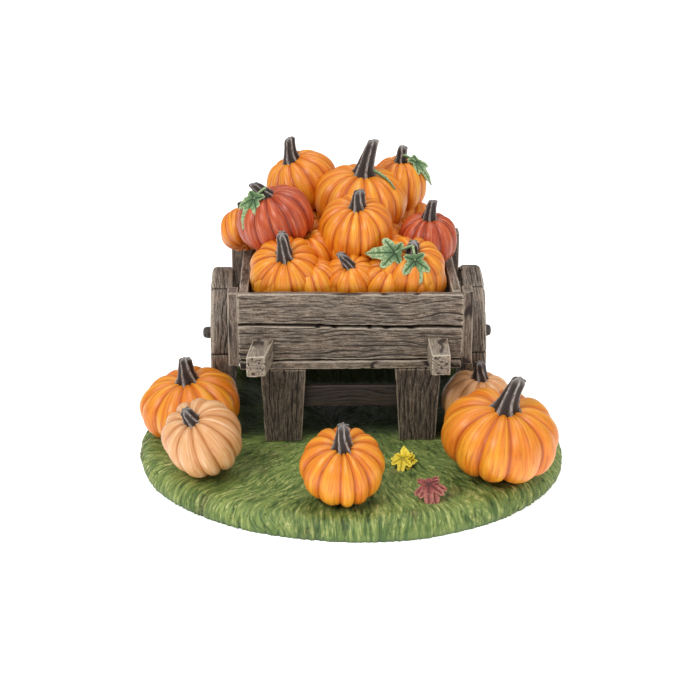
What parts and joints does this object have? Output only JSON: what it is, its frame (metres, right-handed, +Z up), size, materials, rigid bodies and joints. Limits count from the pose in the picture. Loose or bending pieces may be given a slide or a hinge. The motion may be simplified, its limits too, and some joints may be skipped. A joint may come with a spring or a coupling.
{
  "type": "miniature farm hand cart",
  "caption": "Miniature farm hand cart with wheels, legs and short handles, heaped with pumpkins, on a grassy base with more pumpkins around it.",
  "frame": {"origin": "on the flat underside of the grassy base, under the cart, near the base's middle", "axes": "+Z up, -Y towards the front of the cart and its handles, X along the axle"},
  "size_m": [0.0973, 0.0963, 0.0688],
  "materials": {
    "weathered_wood": "cast resin carved with wood grain, dark brown-grey wash, grain ridges dry-brushed pale grey",
    "dark_axle": "cast resin, dark brown, satin",
    "orange_pumpkin": "cast resin, orange airbrushed over yellow, fine strokes down the lobes, satin varnish",
    "red_orange_pumpkin": "cast resin, red-orange with paler strokes down the lobes, satin varnish",
    "pale_peach_pumpkin": "cast resin, pale peach with deeper orange in the grooves, satin varnish",
    "brown_stem": "cast resin, ridged, dark brown, ridges dry-brushed pale",
    "green_leaf": "cast resin, dark green, veins and edges touched in lighter green",
    "yellow_leaf": "cast resin, bright yellow, brown veins",
    "red_leaf": "cast resin, dark red-brown, lighter red edges",
    "painted_grass": "cast resin modelled as combed grass, dark green wash, tips brushed yellow-green"
  },
  "bodies": {
    "base": {"grass_base": "painted_grass", "left_knoll": "painted_grass", "right_knoll": "painted_grass", "left_big_pumpkin": "orange_pumpkin", "left_pale_pumpkin": "pale_peach_pumpkin", "front_pumpkin": "orange_pumpkin", "right_big_pumpkin": "orange_pumpkin", "right_pale_pumpkin": "pale_peach_pumpkin", "ground_stems": "brown_stem", "yellow_leaf": "yellow_leaf", "red_leaf": "red_leaf"},
    "cart": {"axle": "dark_axle", "axle_beam": "weathered_wood", "axle_caps": "dark_axle", "floor_planks": "weathered_wood", "front_board_lower": "weathered_wood", "front_board_upper": "weathered_wood", "front_left_post": "weathered_wood", "front_right_post": "weathered_wood", "front_sill": "weathered_wood", "left_board_lower": "weathered_wood", "left_board_upper": "weathered_wood", "left_handle": "weathered_wood", "left_leg": "weathered_wood", "left_rail": "weathered_wood", "leg_stretcher": "weathered_wood", "rear_board_lower": "weathered_wood", "rear_board_upper": "weathered_wood", "rear_left_post": "weathered_wood", "rear_right_post": "weathered_wood", "rear_sill": "weathered_wood", "right_board_lower": "weathered_wood", "right_board_upper": "weathered_wood", "right_handle": "weathered_wood", "right_leg": "weathered_wood", "right_rail": "weathered_wood"},
    "left_wheel": {"left_wheel_bush": "dark_axle", "left_wheel_felloes": "weathered_wood", "left_wheel_hub": "weathered_wood", "left_wheel_spokes": "weathered_wood"},
    "right_wheel": {"right_wheel_bush": "dark_axle", "right_wheel_felloes": "weathered_wood", "right_wheel_hub": "weathered_wood", "right_wheel_spokes": "weathered_wood"},
    "load": {"heap_back_left_pumpkin": "orange_pumpkin", "heap_back_right_pumpkin": "orange_pumpkin", "heap_core": "orange_pumpkin", "heap_front_left_pumpkin": "orange_pumpkin", "heap_front_middle_pumpkin": "orange_pumpkin", "heap_front_right_pumpkin": "orange_pumpkin", "heap_leaves": "green_leaf", "heap_left_pumpkin": "orange_pumpkin", "heap_left_red_pumpkin": "red_orange_pumpkin", "heap_middle_pumpkin": "orange_pumpkin", "heap_rear_left_pumpkin": "orange_pumpkin", "heap_rear_middle_pumpkin": "orange_pumpkin", "heap_rear_right_pumpkin": "orange_pumpkin", "heap_right_red_pumpkin": "red_orange_pumpkin", "heap_stems": "brown_stem", "heap_top_pumpkin": "orange_pumpkin"}
  },
  "joints": [
    {"name": "base_to_cart", "type": "slide", "parent": "base", "child": "cart", "axis": [0, 0, 1], "range_m": [0, 0.06]},
    {"name": "cart_to_load", "type": "slide", "parent": "cart", "child": "load", "axis": [0, 0, 1], "range_m": [0, 0.035]},
    {"name": "left_wheel_turn", "type": "hinge", "parent": "cart", "child": "left_wheel", "pos_m": [-0.0271, 0.0272, 0.02125], "axis": [1, 0, 0], "continuous": true},
    {"name": "right_wheel_turn", "type": "hinge", "parent": "cart", "child": "right_wheel", "pos_m": [0.0271, 0.0272, 0.02125], "axis": [1, 0, 0], "continuous": true}
  ]
}
